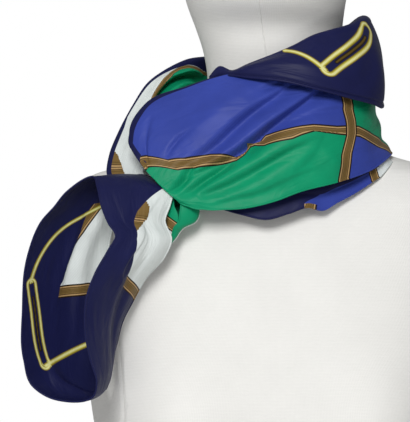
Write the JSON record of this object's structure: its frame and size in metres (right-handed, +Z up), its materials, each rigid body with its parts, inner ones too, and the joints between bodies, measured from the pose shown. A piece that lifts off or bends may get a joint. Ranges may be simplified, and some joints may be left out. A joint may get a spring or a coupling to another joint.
{
  "type": "silk square scarf on a dress form",
  "caption": "Printed silk square wound round a limbless linen dress form, tied at one side with a hanging loop and a turned-down collar corner.",
  "frame": {"origin": "middle of the form's flat underside", "axes": "+Z up, the form's chest faces -Y, its right side is at -X"},
  "size_m": [0.3652, 0.2377, 0.682],
  "materials": {
    "linen": "matt off-white linen cover",
    "silk": "printed silk twill with a soft sheen"
  },
  "bodies": {
    "root": {"form_body": "linen", "form_arm_plate_right": "linen", "form_arm_plate_left": "linen", "neck_wrap": "silk", "collar_flap": "silk", "under_wrap": "silk", "shoulder_strip": "silk", "tail_loop": "silk", "tail_curl": "silk", "knot": "silk"}
  },
  "joints": []
}
